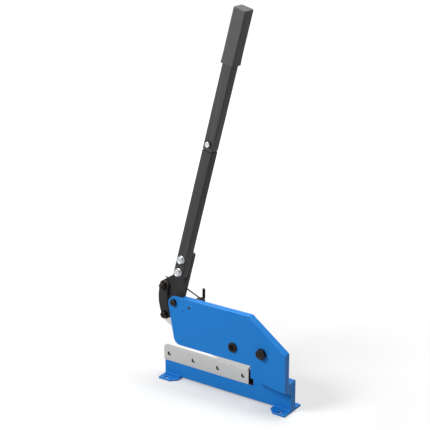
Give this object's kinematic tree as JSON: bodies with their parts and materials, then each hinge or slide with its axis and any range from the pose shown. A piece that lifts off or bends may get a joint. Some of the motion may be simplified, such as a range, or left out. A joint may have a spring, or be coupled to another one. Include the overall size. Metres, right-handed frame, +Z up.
{
  "type": "bench plate shear",
  "caption": "Hand-lever bench shear: a long steel handle draws a curved blade down past a fixed blade on a welded blue stand, with a guided hole for cutting round bar.",
  "frame": {"origin": "on the ground, midway between the two foot holes", "axes": "+Z up, +X along the blades from the link end to the pivot end, the cheek and the user's side face -Y"},
  "size_m": [0.3058, 0.0751, 0.7787],
  "materials": {
    "blue_paint": "semi-gloss blue enamel",
    "blade_steel": "ground tool steel",
    "zinc_steel": "bright zinc plating",
    "black_oxide_steel": "blackened steel, slightly oily",
    "black_plate": "satin dark grey paint",
    "dark_tube_paint": "satin dark grey powder coat",
    "grip_plastic": "matt dark grey plastic",
    "spring_steel": "blackened spring wire and pin"
  },
  "bodies": {
    "frame": {"base_web": "blue_paint", "foot_left": "blue_paint", "foot_right": "blue_paint", "foot_welds": "blue_paint", "front_cheek": "blue_paint", "inner_cheek": "blue_paint", "spacer_block": "blue_paint", "lower_blade": "blade_steel", "lower_blade_bolts": "zinc_steel", "bar_bushing": "black_oxide_steel", "main_pivot_bolt": "black_oxide_steel", "main_pivot_washer": "black_oxide_steel", "main_pivot_nut": "black_oxide_steel", "lever_pivot_sleeve": "black_oxide_steel", "lever_pivot_bolt": "black_oxide_steel", "lever_pivot_washer": "black_oxide_steel", "lever_pivot_nut": "black_oxide_steel", "end_gusset": "blue_paint", "spring_bracket": "black_oxide_steel", "bracket_rivet": "spring_steel", "spring_pin": "spring_steel", "return_spring": "spring_steel"},
    "lever": {"lever_plate": "black_plate", "lower_tube": "dark_tube_paint", "tube_bolts": "zinc_steel", "tube_nuts": "zinc_steel", "coupling_bar": "dark_tube_paint", "coupling_bolt": "zinc_steel", "coupling_washer": "black_oxide_steel", "coupling_nut": "zinc_steel", "upper_tube": "dark_tube_paint", "grip": "grip_plastic"},
    "link": {"link_front": "black_plate", "link_rear": "black_plate", "link_studs": "black_oxide_steel", "link_washers": "black_oxide_steel", "link_nuts": "black_oxide_steel"},
    "moving_blade": {"upper_blade": "blade_steel"}
  },
  "joints": [
    {"name": "lever_swing", "type": "hinge", "parent": "frame", "child": "lever", "pos_m": [-0.109, 0.0105, 0.178], "axis": [0, -1, 0], "range_deg": [0, 100], "deforming": ["return_spring"]},
    {"name": "link_swing", "type": "hinge", "parent": "lever", "child": "link", "pos_m": [-0.14, 0.0025, 0.204], "axis": [0, -1, 0], "range_deg": [-108.1, 0]},
    {"name": "blade_swing", "type": "hinge", "parent": "link", "child": "moving_blade", "pos_m": [-0.1375, 0.0025, 0.143], "axis": [0, -1, 0], "range_deg": [0, 23]}
  ],
  "couplings": [
    {"joint": "link_swing", "follows": "lever_swing", "ratio": -1.081},
    {"joint": "blade_swing", "follows": "lever_swing", "ratio": 0.23}
  ]
}
